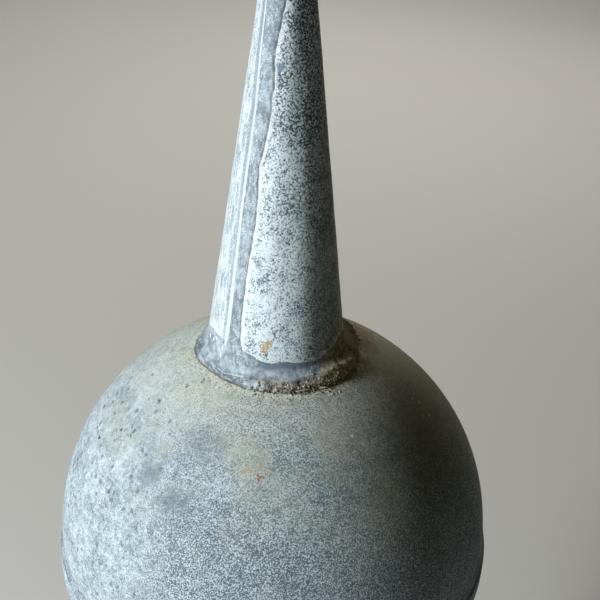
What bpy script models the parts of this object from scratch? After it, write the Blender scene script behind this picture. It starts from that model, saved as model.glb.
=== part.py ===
"""A sheet-zinc roof finial: a rolled spike on a two-part hollow ball, on a flared base.

Run with Blender 4.5. Lengths are in metres, +Z is up, and the origin is at the
centre of the base's underside. The front faces -Y, with the spike's lap seam at
the front left. The spike is a little off the ball's centre and leans to +X.
"""
from math import asin, cos, pi, radians, sin, sqrt

import bmesh
import bpy
from mathutils import Vector

# Sheet and joints
SHEET_THICKNESS = 0.0010
JOINT_GAP = 0.0003
TURNING_STEPS = 40

# Ball
BALL_RADIUS = 0.100
BALL_CENTRE_HEIGHT = 0.300
DOME_SKIRT_DEPTH = 0.0095
COLLAR_CLEARANCE = 0.0008
COLLAR_TOP_DROP = 0.0040
COLLAR_HEIGHT = 0.0090
COLLAR_SHOULDER_DROP = 0.0022

# Spike
SPIRE_FOOT_RADIUS = 0.0303
SPIRE_POINT_HEIGHT = 0.2343
SPIRE_END_RADIUS = 0.0040
SPIRE_OFFSET = -0.0010
SPIRE_LEAN = radians(0.53)
LAP_WIDTH = 0.0090
LAP_WIDEST_TURN = radians(50.0)
LAP_RAMP_TURN = radians(42.0)
SEAM_ANGLE = radians(222.1)
SPIRE_COLUMNS = 36
SPIRE_ROWS = 9
TIP_OVERHANG = 0.0006
TIP_ROUNDING = 0.0011

# Solder
SEAM_BAND_THICKNESS = 0.0006
SEAM_BAND_MARGIN = 0.0004
SEAM_BAND_COLUMNS = 3
FOOT_COLLAR_RADIUS = 0.0369
FOOT_COLLAR_EDGE_INSET = 0.0020
FOOT_COLLAR_EDGE_RISE = 0.0046
FOOT_COLLAR_FACE_RISE = 0.0021
FOOT_FILLET_RISE = 0.0052
FOOT_FILLET_THINNEST = 0.0005
FOOT_FILLET_SAG = 0.0008

# Neck and base
NECK_RADIUS = 0.030
NECK_LENGTH = 0.030
NECK_INSERT = 0.0060
NECK_SOLDER_WIDTH = 0.0060
NECK_SOLDER_DROP = 0.0050
BEAD_RADIUS = 0.0060
BEAD_DROP = 0.0190
BASE_RADIUS = 0.115
FLANGE_WIDTH = 0.0120
EDGE_ROLL_RADIUS = 0.0025
FLARE_STEPS = 8

FULL_TURN = 2.0 * pi
COLLECTION_NAME = "roof_finial"
CUTTER_COLLECTION_NAME = "roof_finial_cutters"

# Heights that follow from the sizes above
COLLAR_INNER_RADIUS = BALL_RADIUS + COLLAR_CLEARANCE
COLLAR_OUTER_RADIUS = COLLAR_INNER_RADIUS + SHEET_THICKNESS
COLLAR_TOP_HEIGHT = BALL_CENTRE_HEIGHT - COLLAR_TOP_DROP
LAP_LIFT = SHEET_THICKNESS + JOINT_GAP


def ball_rise(radius):
    """How far above or below its centre the ball's surface is, at a distance from the axis."""
    return sqrt(BALL_RADIUS ** 2 - radius ** 2)


SPIRE_FOOT_REACH = SPIRE_FOOT_RADIUS - SHEET_THICKNESS - abs(SPIRE_OFFSET)
SPIRE_FOOT_DIP = SPIRE_FOOT_RADIUS * sin(SPIRE_LEAN)
SPIRE_FOOT_HEIGHT = BALL_CENTRE_HEIGHT + ball_rise(SPIRE_FOOT_REACH) + SPIRE_FOOT_DIP + JOINT_GAP
SPIRE_TAPER = SPIRE_FOOT_RADIUS / SPIRE_POINT_HEIGHT
SPIRE_END_HEIGHT = SPIRE_FOOT_HEIGHT + SPIRE_POINT_HEIGHT - SPIRE_END_RADIUS / SPIRE_TAPER
FOOT_EDGE_RADIUS = FOOT_COLLAR_RADIUS - FOOT_COLLAR_EDGE_INSET
FOOT_COLLAR_BASE_HEIGHT = BALL_CENTRE_HEIGHT + ball_rise(FOOT_COLLAR_RADIUS)
FOOT_EDGE_HEIGHT = FOOT_COLLAR_BASE_HEIGHT + FOOT_COLLAR_FACE_RISE + FOOT_COLLAR_EDGE_RISE
FOOT_FILLET_TOP_HEIGHT = FOOT_EDGE_HEIGHT + FOOT_FILLET_RISE
WALL_RATIO = BALL_RADIUS / (BALL_RADIUS - SHEET_THICKNESS)
NECK_OPENING_RADIUS = (NECK_RADIUS + JOINT_GAP) * WALL_RATIO
NECK_TOP_HEIGHT = BALL_CENTRE_HEIGHT - ball_rise(NECK_OPENING_RADIUS) + NECK_INSERT
NECK_BOTTOM_HEIGHT = NECK_TOP_HEIGHT - NECK_INSERT - NECK_LENGTH


def clear_scene():
    """Removes whatever the scene holds, so that the model starts from nothing."""
    for old in list(bpy.data.objects):
        bpy.data.objects.remove(old, do_unlink=True)


def new_collection(name):
    """A collection linked to the scene."""
    collection = bpy.data.collections.new(name)
    bpy.context.scene.collection.children.link(collection)
    return collection


def metal(name, colour, roughness, metallic):
    """A plain Principled material with the part's colour."""
    material = bpy.data.materials.new(name)
    material.use_nodes = True
    shader = material.node_tree.nodes["Principled BSDF"]
    shader.inputs["Base Color"].default_value = (*colour, 1.0)
    shader.inputs["Roughness"].default_value = roughness
    shader.inputs["Metallic"].default_value = metallic
    return material


def zinc(name):
    """Weathered zinc sheet."""
    return metal(name, (0.36, 0.40, 0.43), 0.72, 0.35)


def solder(name):
    """Old tin-lead solder, smoother and a little darker than the sheet."""
    return metal(name, (0.27, 0.31, 0.35), 0.55, 0.45)


def add_object(name, mesh, material, collection):
    """Links a mesh as a named object with its material."""
    mesh.materials.append(material)
    obj = bpy.data.objects.new(name, mesh)
    collection.objects.link(obj)
    return obj


def make_spire_axis(collection):
    """The empty that carries the spike: off centre and leaning, as it was soldered on."""
    axis = bpy.data.objects.new("spire_axis", None)
    axis.location = (SPIRE_OFFSET, 0.0, SPIRE_FOOT_HEIGHT)
    axis.rotation_euler = (0.0, SPIRE_LEAN, 0.0)
    collection.objects.link(axis)
    return axis


def set_on_axis(obj, axis):
    """Hangs an object that was modelled upright in place on the leaning axis."""
    obj.parent = axis
    obj.location = (0.0, 0.0, -SPIRE_FOOT_HEIGHT)


def shade(obj):
    """Smooth shading with the sharp edges kept."""
    obj.data.shade_smooth()
    obj.data.set_sharp_from_angle(angle=radians(35.0))


def add_wall(obj, thickness, offset):
    """Gives an open surface its thickness: offset -1 grows inwards and 1 outwards."""
    wall = obj.modifiers.new("wall", "SOLIDIFY")
    wall.thickness = thickness
    wall.offset = offset
    wall.use_even_offset = True


def turned(name, outline, material, collection, closed):
    """Turns an outline of (radius, height) points about the vertical axis."""
    mesh = bpy.data.meshes.new(name)
    points = [(radius, 0.0, height) for radius, height in outline]
    edges = [(index, index + 1) for index in range(len(points) - 1)]
    if closed:
        edges.append((len(points) - 1, 0))
    mesh.from_pydata(points, edges, [])
    obj = add_object(name, mesh, material, collection)
    screw = obj.modifiers.new("turn", "SCREW")
    screw.axis = "Z"
    screw.angle = FULL_TURN
    screw.steps = TURNING_STEPS
    screw.render_steps = TURNING_STEPS
    screw.use_merge_vertices = True
    screw.merge_threshold = 0.00001
    screw.use_smooth_shade = True
    return obj


def ball_arc(start, end, count, radius=BALL_RADIUS):
    """Points of the ball's outline between two angles above its equator."""
    points = []
    for index in range(count + 1):
        angle = start + (end - start) * index / count
        points.append((radius * cos(angle), BALL_CENTRE_HEIGHT + radius * sin(angle)))
    return points


def make_ball_upper(collection):
    """The spun dome, with the straight edge that slips into the lower half."""
    outline = ball_arc(pi / 2, 0.0, 9)
    outline[0] = (0.0, outline[0][1])
    outline.append((BALL_RADIUS, BALL_CENTRE_HEIGHT - DOME_SKIRT_DEPTH))
    dome = turned("ball_upper", outline, zinc("ball_upper"), collection, closed=False)
    add_wall(dome, SHEET_THICKNESS, -1.0)
    return dome


def make_ball_lower(collection):
    """The spun bowl: a proud collar, a shoulder back to the ball's outline and the neck opening."""
    collar_bottom = COLLAR_TOP_HEIGHT - COLLAR_HEIGHT
    shoulder_height = collar_bottom - COLLAR_SHOULDER_DROP
    shoulder_angle = -asin((BALL_CENTRE_HEIGHT - shoulder_height) / BALL_RADIUS)
    opening_angle = -asin(ball_rise(NECK_OPENING_RADIUS) / BALL_RADIUS)
    outline = [
        (COLLAR_OUTER_RADIUS, COLLAR_TOP_HEIGHT),
        (COLLAR_OUTER_RADIUS, collar_bottom),
    ]
    outline += ball_arc(shoulder_angle, opening_angle, 7)
    bowl = turned("ball_lower", outline, zinc("ball_lower"), collection, closed=False)
    add_wall(bowl, SHEET_THICKNESS, -1.0)
    return bowl


def make_equator_solder(collection):
    """The sloping band of solder that fills the step between dome and collar."""
    inner = BALL_RADIUS + JOINT_GAP
    outer = COLLAR_OUTER_RADIUS - JOINT_GAP
    bottom = COLLAR_TOP_HEIGHT + JOINT_GAP
    top = BALL_CENTRE_HEIGHT - JOINT_GAP
    outline = [
        (inner, top),
        (inner + 0.35 * (outer - inner), bottom + 0.62 * (top - bottom)),
        (outer, bottom + JOINT_GAP),
        (outer, bottom),
        (inner, bottom),
    ]
    return turned("equator_solder", outline, solder("equator_solder"), collection, closed=True)


def smooth_step(share):
    """Rises from 0 to 1 with level ends."""
    share = min(1.0, max(0.0, share))
    return share * share * (3.0 - 2.0 * share)


def spire_radius(height):
    """Outer radius of the spike's sheet, away from the lap, at a height in the model."""
    return SPIRE_FOOT_RADIUS - SPIRE_TAPER * (height - SPIRE_FOOT_HEIGHT)


def lap_turn(radius):
    """The angle that the lap covers, which grows up the cone until the lap is tapered."""
    return min(LAP_WIDTH / radius, LAP_WIDEST_TURN)


def lap_lift(turn, radius):
    """How far the sheet stands out at an angle past its cut edge, where it lies over itself."""
    return LAP_LIFT * (1.0 - smooth_step((turn - lap_turn(radius)) / LAP_RAMP_TURN))


def around(turn, radius, height):
    """A point at an angle past the seam, a distance from the axis and a height."""
    angle = SEAM_ANGLE + turn
    return Vector((radius * cos(angle), radius * sin(angle), height))


def rolled_grid(name, columns, rows, place):
    """A flat grid bent into place by a function of its two shares, across and up."""
    shape = bmesh.new()
    bmesh.ops.create_grid(shape, x_segments=columns, y_segments=rows, size=0.5)
    for vertex in shape.verts:
        vertex.co = place(vertex.co.x + 0.5, vertex.co.y + 0.5)
    mesh = bpy.data.meshes.new(name)
    shape.to_mesh(mesh)
    shape.free()
    return mesh


def spire_sheet_point(across, up):
    """Where a point of the flat sheet lands once it is rolled into the cone and lapped."""
    height = SPIRE_FOOT_HEIGHT + up * (SPIRE_END_HEIGHT - SPIRE_FOOT_HEIGHT)
    radius = spire_radius(height)
    turn = across * (FULL_TURN + lap_turn(radius))
    return around(turn, radius + lap_lift(turn, radius), height)


def make_spire(collection):
    """The spike: one sheet rolled into a cone, its front edge lapped over its back edge."""
    mesh = rolled_grid("spire", SPIRE_COLUMNS, SPIRE_ROWS, spire_sheet_point)
    spire = add_object("spire", mesh, zinc("spire"), collection)
    add_wall(spire, SHEET_THICKNESS, -1.0)
    shade(spire)
    return spire


def seam_band_point(across, up):
    """A point of the solder band's underside, which lies on the lapped sheet."""
    start = FOOT_FILLET_TOP_HEIGHT + JOINT_GAP
    height = start + up * (SPIRE_END_HEIGHT - start)
    radius = spire_radius(height)
    margin = SEAM_BAND_MARGIN / radius
    turn = margin + across * (lap_turn(radius) - margin)
    return around(turn, radius + LAP_LIFT + JOINT_GAP, height)


def make_spire_seam_solder(collection):
    """The flat band of solder down the lap, from the foot collar to the end of the sheet."""
    mesh = rolled_grid("spire_seam_solder", SEAM_BAND_COLUMNS, SPIRE_ROWS, seam_band_point)
    band = add_object("spire_seam_solder", mesh, solder("spire_seam_solder"), collection)
    add_wall(band, SEAM_BAND_THICKNESS, 1.0)
    shade(band)
    return band


def make_spire_tip(collection):
    """The soldered point that closes the end of the rolled cone."""
    bottom = SPIRE_END_HEIGHT + JOINT_GAP
    widest = SPIRE_END_RADIUS + LAP_LIFT + JOINT_GAP
    point = SPIRE_FOOT_HEIGHT + SPIRE_POINT_HEIGHT
    outline = [(0.0, point)]
    for degrees in (50.0, 5.0):
        angle = radians(degrees)
        outline.append((TIP_ROUNDING * cos(angle), point - TIP_ROUNDING * (1.0 - sin(angle))))
    waist = bottom + widest
    outline.append((spire_radius(waist) + TIP_OVERHANG, waist))
    outline.append((widest, bottom + 0.25 * widest))
    outline.append((widest, bottom))
    outline.append((0.0, bottom))
    return turned("spire_tip", outline, solder("spire_tip"), collection, closed=False)


def make_spire_clearance(collection):
    """A cutter: the lapped cone's outside, one joint gap larger, through the foot collar."""
    rings = (SPIRE_FOOT_HEIGHT - 2.0 * FOOT_FILLET_RISE, FOOT_FILLET_TOP_HEIGHT + FOOT_FILLET_RISE)
    count = 2 * SPIRE_COLUMNS
    shape = bmesh.new()
    layers = []
    for height in rings:
        radius = spire_radius(height)
        side_gap = JOINT_GAP / radius
        layer = [shape.verts.new(around(-side_gap, radius + JOINT_GAP, height))]
        for index in range(count):
            turn = -side_gap + (FULL_TURN - side_gap) * index / count
            layer.append(shape.verts.new(
                around(turn, radius + lap_lift(turn, radius) + JOINT_GAP, height)))
        layers.append(layer)
    lower, upper = layers
    for index in range(count + 1):
        after = (index + 1) % (count + 1)
        shape.faces.new((lower[index], lower[after], upper[after], upper[index]))
    shape.faces.new(upper)
    shape.faces.new(lower[::-1])
    mesh = bpy.data.meshes.new("spire_clearance")
    shape.to_mesh(mesh)
    shape.free()
    cutter = add_object("spire_clearance", mesh, zinc("cutter"), collection)
    cutter.hide_render = True
    cutter.display_type = "WIRE"
    return cutter


def foot_collar_outline():
    """The foot collar: a hollow fillet, a sharp edge and a steep outer face over the dome."""
    inner = SPIRE_FOOT_RADIUS - 2.0 * SHEET_THICKNESS
    fillet_top_radius = (spire_radius(FOOT_FILLET_TOP_HEIGHT) + LAP_LIFT + JOINT_GAP
                         + abs(SPIRE_OFFSET) + FOOT_FILLET_THINNEST)
    outline = [(inner, FOOT_FILLET_TOP_HEIGHT), (fillet_top_radius, FOOT_FILLET_TOP_HEIGHT)]
    for share in (0.25, 0.5, 0.75):
        sag = FOOT_FILLET_SAG * 4.0 * share * (1.0 - share)
        outline.append((
            fillet_top_radius + share * (FOOT_EDGE_RADIUS - fillet_top_radius) - 0.6 * sag,
            FOOT_FILLET_TOP_HEIGHT + share * (FOOT_EDGE_HEIGHT - FOOT_FILLET_TOP_HEIGHT) - sag))
    outline.append((FOOT_EDGE_RADIUS, FOOT_EDGE_HEIGHT))
    outline.append((FOOT_COLLAR_RADIUS, FOOT_COLLAR_BASE_HEIGHT + FOOT_COLLAR_FACE_RISE))
    seat = BALL_RADIUS + JOINT_GAP
    for share in (0.0, 0.5, 1.0):
        radius = FOOT_COLLAR_RADIUS + share * (inner - FOOT_COLLAR_RADIUS)
        outline.append((radius, BALL_CENTRE_HEIGHT + sqrt(seat ** 2 - radius ** 2)))
    return outline


def make_spire_foot_solder(collection, cutter):
    """The collar of solder round the spike's foot, hollowed to fit the lapped sheet."""
    ring = turned("spire_foot_solder", foot_collar_outline(), solder("spire_foot_solder"),
                  collection, closed=True)
    cut = ring.modifiers.new("bore", "BOOLEAN")
    cut.operation = "DIFFERENCE"
    cut.solver = "EXACT"
    cut.object = cutter
    return ring


def make_neck_solder(collection):
    """Solder in the corner between the ball's underside and the neck."""
    inner = NECK_RADIUS + JOINT_GAP
    outer = inner + NECK_SOLDER_WIDTH
    seat = BALL_RADIUS + JOINT_GAP
    outline = []
    for share in (0.0, 0.5, 1.0):
        radius = inner + share * (outer - inner)
        outline.append((radius, BALL_CENTRE_HEIGHT - sqrt(seat ** 2 - radius ** 2)))
    low = outline[0][1] - NECK_SOLDER_DROP
    outline.append((inner + 0.62 * NECK_SOLDER_WIDTH, low + 0.52 * NECK_SOLDER_DROP))
    outline.append((inner + 0.28 * NECK_SOLDER_WIDTH, low + 0.18 * NECK_SOLDER_DROP))
    outline.append((inner, low))
    return turned("neck_solder", outline, solder("neck_solder"), collection, closed=True)


def make_neck_bead(collection):
    """The half-round bead soldered round the neck."""
    inner = NECK_RADIUS + JOINT_GAP
    middle = NECK_TOP_HEIGHT - NECK_INSERT - BEAD_DROP
    outline = []
    for degrees in range(90, -91, -45):
        angle = radians(degrees)
        outline.append((inner + BEAD_RADIUS * cos(angle), middle + BEAD_RADIUS * sin(angle)))
    return turned("neck_bead", outline, zinc("neck_bead"), collection, closed=True)


def base_outline():
    """The base's upper side: neck, flare, flat flange and rolled edge."""
    flange_top = SHEET_THICKNESS
    flare_foot = BASE_RADIUS - FLANGE_WIDTH
    outline = [(NECK_RADIUS, NECK_TOP_HEIGHT)]
    drop = NECK_BOTTOM_HEIGHT - flange_top
    for index in range(FLARE_STEPS + 1):
        angle = index / FLARE_STEPS * pi / 2
        outline.append((NECK_RADIUS + (flare_foot - NECK_RADIUS) * (1.0 - cos(angle)),
                        NECK_BOTTOM_HEIGHT - drop * sin(angle)))
    roll_centre_radius = BASE_RADIUS - EDGE_ROLL_RADIUS - SHEET_THICKNESS
    roll_centre_height = flange_top + EDGE_ROLL_RADIUS
    for degrees in (-90.0, -45.0, 0.0, 65.0, 130.0):
        angle = radians(degrees)
        outline.append((roll_centre_radius + EDGE_ROLL_RADIUS * cos(angle),
                        roll_centre_height + EDGE_ROLL_RADIUS * sin(angle)))
    return outline


def make_base_skirt(collection):
    """The flared base, open underneath, with the neck that enters the ball."""
    base = turned("base_skirt", base_outline(), zinc("base_skirt"), collection, closed=False)
    add_wall(base, SHEET_THICKNESS, -1.0)
    return base


def main():
    """Builds the finial, one object for each piece."""
    clear_scene()
    parts = new_collection(COLLECTION_NAME)
    cutters = new_collection(CUTTER_COLLECTION_NAME)
    axis = make_spire_axis(parts)
    clearance = make_spire_clearance(cutters)
    make_ball_upper(parts)
    make_equator_solder(parts)
    make_ball_lower(parts)
    spire = make_spire(parts)
    tip = make_spire_tip(parts)
    band = make_spire_seam_solder(parts)
    for piece in (spire, tip, band, clearance):
        set_on_axis(piece, axis)
    make_spire_foot_solder(parts, clearance)
    make_neck_solder(parts)
    make_neck_bead(parts)
    make_base_skirt(parts)


main()
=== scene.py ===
import random
from math import asin, cos, pi, radians, sin, sqrt

import bmesh
import bpy
import numpy as np
from mathutils import Matrix, Vector, noise


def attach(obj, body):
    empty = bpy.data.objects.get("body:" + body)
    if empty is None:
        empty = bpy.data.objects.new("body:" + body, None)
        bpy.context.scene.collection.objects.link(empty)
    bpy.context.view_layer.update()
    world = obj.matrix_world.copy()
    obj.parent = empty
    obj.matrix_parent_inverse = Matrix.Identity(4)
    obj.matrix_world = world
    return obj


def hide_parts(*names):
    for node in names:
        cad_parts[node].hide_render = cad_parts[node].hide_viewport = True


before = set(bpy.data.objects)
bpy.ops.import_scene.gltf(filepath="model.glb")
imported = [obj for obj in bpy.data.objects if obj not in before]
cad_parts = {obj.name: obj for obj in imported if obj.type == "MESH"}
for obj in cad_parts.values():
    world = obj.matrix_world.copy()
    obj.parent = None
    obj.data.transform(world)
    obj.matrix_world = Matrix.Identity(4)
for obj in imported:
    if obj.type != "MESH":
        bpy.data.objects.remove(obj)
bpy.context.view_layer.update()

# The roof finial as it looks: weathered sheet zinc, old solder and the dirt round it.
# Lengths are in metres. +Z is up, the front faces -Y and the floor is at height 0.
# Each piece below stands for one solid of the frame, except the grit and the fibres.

FULL_TURN = 2.0 * pi

# Sizes shared with the solids
SHEET = 0.0010
GAP = 0.0003
BALL_RADIUS = 0.100
BALL_HEIGHT = 0.300
SKIRT_DEPTH = 0.0095
COLLAR_INNER = 0.1008
COLLAR_OUTER = 0.1018
COLLAR_TOP = 0.2960
COLLAR_BOTTOM = 0.2870
SHOULDER_HEIGHT = 0.2848
FOOT_HEIGHT = 0.3965
FOOT_RADIUS = 0.0303
SPIKE_RISE = 0.2343
SPIKE_OFFSET = -0.0010
SPIKE_LEAN = radians(0.53)
SPIKE_TAPER = FOOT_RADIUS / SPIKE_RISE
END_RADIUS = 0.0040
END_HEIGHT = FOOT_HEIGHT + SPIKE_RISE - END_RADIUS / SPIKE_TAPER
LAP_WIDTH = 0.0090
LAP_WIDEST = radians(50.0)
LAP_RAMP = radians(42.0)
LAP_LIFT = SHEET + GAP
LAP_SHARE = 0.6  # the most of the lap that its wandering cut edge takes
SEAM_ANGLE = radians(222.1)
NECK_RADIUS = 0.030
NECK_TOP = 0.2108
NECK_BOTTOM = 0.1748
BEAD_HEIGHT = 0.1858
BEAD_RADIUS = 0.0060
FLARE_FOOT = 0.103
BASE_RADIUS = 0.115
ROLL_RADIUS = 0.0025

# Where the cut edge of the lap wanders to: (height, distance past the seam line)
CUT_EDGE = (
    (0.396, 0.0010), (0.428, 0.0012), (0.448, 0.0013), (0.471, 0.0012), (0.4955, 0.0018),
    (0.508, 0.0021), (0.527, 0.0014), (0.560, 0.0012), (0.600, 0.0008),
)
# The bare white ridge between the cut edge and the solder: (height, width)
RIDGE_WIDTH = (
    (0.404, 0.0004), (0.409, 0.0012), (0.414, 0.0020), (0.425, 0.0020), (0.440, 0.0016),
    (0.470, 0.0014), (0.520, 0.0010), (0.545, 0.0006), (0.600, 0.0004),
)
# How far the seam's solder runs to the right of the seam line: (height, distance)
BAND_EDGE = (
    (0.4040, 0.0230), (0.4065, 0.0167), (0.4077, 0.0149), (0.4091, 0.0103), (0.4141, 0.0088),
    (0.4207, 0.0082), (0.4410, 0.0081), (0.4611, 0.0086), (0.4733, 0.0084), (0.4863, 0.0074),
    (0.5047, 0.0091), (0.5173, 0.0086), (0.5301, 0.0074), (0.5477, 0.0085), (0.5700, 0.0070),
    (0.6000, 0.0048),
)
# The upper edge of the foot's solder on the sheet: (degrees past the seam, height)
FOOT_LINE = (
    (-150.0, 0.4052), (-110.0, 0.4045), (-70.0, 0.4058), (-45.0, 0.4062), (-29.0, 0.4078),
    (-20.0, 0.4097), (-12.0, 0.4091), (-6.0, 0.4094), (0.0, 0.4087), (8.0, 0.4066),
    (22.0, 0.4054), (31.2, 0.4061), (44.2, 0.4052), (56.8, 0.4056), (67.7, 0.4046),
    (79.5, 0.4041), (90.4, 0.4043), (102.3, 0.4061), (114.7, 0.4079), (135.0, 0.4066),
    (170.0, 0.4050),
)
# The sharp rim of the foot's solder: (degrees about the axis, radius)
RIM_RADIUS = (
    (20.0, 0.0352), (80.0, 0.0350), (140.0, 0.0340), (180.0, 0.0329), (190.0, 0.0336),
    (197.0, 0.0342), (208.0, 0.0346), (217.0, 0.0344), (231.0, 0.0346), (236.0, 0.0338),
    (246.0, 0.0335), (254.0, 0.0325), (263.0, 0.0318), (277.0, 0.0332), (287.0, 0.0323),
    (297.0, 0.0322), (320.0, 0.0330), (340.0, 0.0345),
)
# How high that rim stands: (degrees about the axis, height)
RIM_HEIGHT = (
    (20.0, 0.3985), (140.0, 0.3985), (180.0, 0.3978), (210.0, 0.3979), (232.0, 0.3980),
    (248.0, 0.3995), (280.0, 0.3997), (310.0, 0.3994), (340.0, 0.3988),
)
# Where the foot's solder meets the ball: (degrees about the axis, radius)
COLLAR_REACH = (
    (6.0, 0.0356), (60.0, 0.0366), (120.0, 0.0369), (160.0, 0.0369), (182.0, 0.0369),
    (195.0, 0.0362), (212.0, 0.0345), (233.0, 0.0341), (251.0, 0.0346), (267.0, 0.0348),
    (279.0, 0.0352), (293.0, 0.0354), (306.0, 0.0357), (322.0, 0.0364), (333.0, 0.0369),
    (347.0, 0.0362),
)

# Linear colours
SPIKE_DARK = (0.072, 0.108, 0.135)
SPIKE_MID = (0.34, 0.42, 0.465)
SPIKE_PALE = (0.74, 0.84, 0.89)
BALL_DARK = (0.095, 0.14, 0.165)
BALL_MID = (0.245, 0.3, 0.325)
BALL_PALE = (0.575, 0.657, 0.712)
CHALK = (0.7, 0.75, 0.77)
STREAK = (0.57, 0.615, 0.635)
SOLDER_DARK = (0.15, 0.19, 0.225)
SOLDER_PALE = (0.37, 0.425, 0.455)
NEAR_BLACK_BROWN = (0.045, 0.038, 0.026)
UMBER = (0.4, 0.325, 0.172)
RUST = (0.27, 0.12, 0.055)
OCHRE = (0.5, 0.34, 0.17)
CREAM = (0.64, 0.63, 0.52)
LICHEN = (0.4, 0.41, 0.3)


# Shapes: helpers

def read_table(table, where, period=None):
    """Reads a table of (place, value) pairs at an array of places."""
    places = [row[0] for row in table]
    values = [row[1] for row in table]
    return np.interp(where, places, values, period=period)


def ease(value, start, end):
    """0 at start, 1 at end, with level ends, for arrays."""
    share = np.clip((value - start) / (end - start), 0.0, 1.0)
    return share * share * (3.0 - 2.0 * share)


def ripple(points, size, seed=0.0):
    """Smooth noise from -1 to 1 at each point, with lumps about that size."""
    flat = points.reshape(-1, 3) / size
    shift = Vector((seed, 1.7 * seed, 0.6 * seed))
    values = [noise.noise(Vector(point) + shift) for point in flat.tolist()]
    return np.array(values).reshape(points.shape[:-1])


def polar(angle, radius, height):
    """Points at an angle, radius and height, as an array."""
    angle, radius, height = np.broadcast_arrays(angle, radius, height)
    return np.stack((radius * np.cos(angle), radius * np.sin(angle), height), axis=-1)


def off_axis(points):
    """Each point's distance from the upright axis."""
    return np.hypot(points[..., 0], points[..., 1])


def bearing(points):
    """Each point's angle about the upright axis."""
    return np.arctan2(points[..., 1], points[..., 0])


def widened(points, distance):
    """Points moved away from the upright axis by a distance each."""
    return points + polar(bearing(points), distance, 0.0)


def pushed(points, centre, distance):
    """Points moved away from a centre by a distance each."""
    away = points - centre
    length = np.linalg.norm(away, axis=-1, keepdims=True)
    return points + away / length * distance[..., None]


def skin(name, rings, wrap=False, marks=None):
    """A closed mesh through rings of points, listed from the top down on the outside.

    A ring of one point is a pole. With wrap the last ring joins the first one.
    """
    starts = np.cumsum([0] + [len(ring) for ring in rings]).tolist()
    faces = []
    last = len(rings) if wrap else len(rings) - 1
    for first in range(last):
        second = (first + 1) % len(rings)
        upper, lower = starts[first], starts[second]
        count = max(len(rings[first]), len(rings[second]))
        for column in range(count):
            after = (column + 1) % count
            if len(rings[first]) == 1:
                faces.append((upper, lower + column, lower + after))
            elif len(rings[second]) == 1:
                faces.append((upper + column, lower, upper + after))
            else:
                faces.append((upper + column, lower + column, lower + after, upper + after))
    mesh = bpy.data.meshes.new(name)
    mesh.from_pydata(np.concatenate(rings).tolist(), [], faces)
    for mark, values in (marks or {}).items():
        layer = mesh.attributes.new(mark, "FLOAT", "POINT")
        layer.data.foreach_set("value", np.concatenate(values).astype(np.float32))
    mesh.shade_smooth()
    mesh.set_sharp_from_angle(angle=radians(50.0))
    return mesh


def add_piece(mesh, material, slot, *nodes):
    """Links a mesh as a piece that rides on the finial and stands for the named solids."""
    mesh.materials.append(material)
    piece = bpy.data.objects.new(mesh.name, mesh)
    bpy.context.scene.collection.objects.link(piece)
    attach(piece, "root")
    if nodes:
        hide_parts(*nodes)


def add_loose(shape, name, material):
    """Turns a finished bmesh into a smooth extra piece that lies on the ball."""
    mesh = bpy.data.meshes.new(name)
    shape.to_mesh(mesh)
    shape.free()
    mesh.shade_smooth()
    add_piece(mesh, material, "ball_zinc")


def lathe(name, outline, columns, relief, marks=None):
    """Turns a closed outline of (radius, height) points, listed down the outside first.

    Relief moves a ring of points, and each mark is worked out from the moved ring.
    """
    angles = np.linspace(0.0, FULL_TURN, columns, endpoint=False)
    rings = []
    for radius, height in outline:
        if radius == 0.0:
            rings.append(np.array([[0.0, 0.0, height]]))
        else:
            rings.append(relief(polar(angles, radius, height)))
    values = {mark: [rule(ring) for ring in rings] for mark, rule in (marks or {}).items()}
    has_poles = outline[0][0] == 0.0
    return skin(name, rings, wrap=not has_poles, marks=values)


# Shapes: the ball

BALL_CENTRE = np.array([0.0, 0.0, BALL_HEIGHT])


def ball_points(start, end, count, radius):
    """(radius, height) points along the ball's outline between two angles."""
    points = []
    for index in range(count + 1):
        angle = start + (end - start) * index / count
        across = 0.0 if abs(angle - pi / 2) < 1e-9 else radius * cos(angle)
        points.append((across, BALL_HEIGHT + radius * sin(angle)))
    return points


def ball_relief(points):
    """Shallow dents and spinning waves over the ball."""
    dents = 0.00022 * ripple(points, 0.045, 3.0) + 0.00007 * ripple(points, 0.012, 8.0)
    quiet = ease(np.abs(points[..., 2] - BALL_HEIGHT), 0.004, 0.02)
    return pushed(points, BALL_CENTRE, dents * quiet)


def collar_distance(points):
    """How far points on the ball are outside the foot's solder, in metres."""
    return off_axis(points) - read_table(COLLAR_REACH, np.degrees(bearing(points)) % 360.0, 360.0)


def make_dome():
    """The spun upper half, with the straight edge that slips into the lower half."""
    inside = BALL_RADIUS - SHEET
    edge = BALL_HEIGHT - SKIRT_DEPTH
    bevel = 0.0002
    outline = ball_points(pi / 2, 0.0, 122, BALL_RADIUS)
    outline += [(BALL_RADIUS, BALL_HEIGHT - drop) for drop in (0.003, 0.006)]
    outline += [(BALL_RADIUS, edge + bevel), (BALL_RADIUS - bevel, edge)]
    outline += [(inside + bevel, edge), (inside, edge + bevel)]
    outline += ball_points(0.0, pi / 2, 14, inside)
    mesh = lathe("dome", outline, 480, ball_relief, {"past_collar": collar_distance})
    add_piece(mesh, ball_zinc("dome_zinc", around_collar=True), "ball_zinc", "ball_upper")


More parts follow.
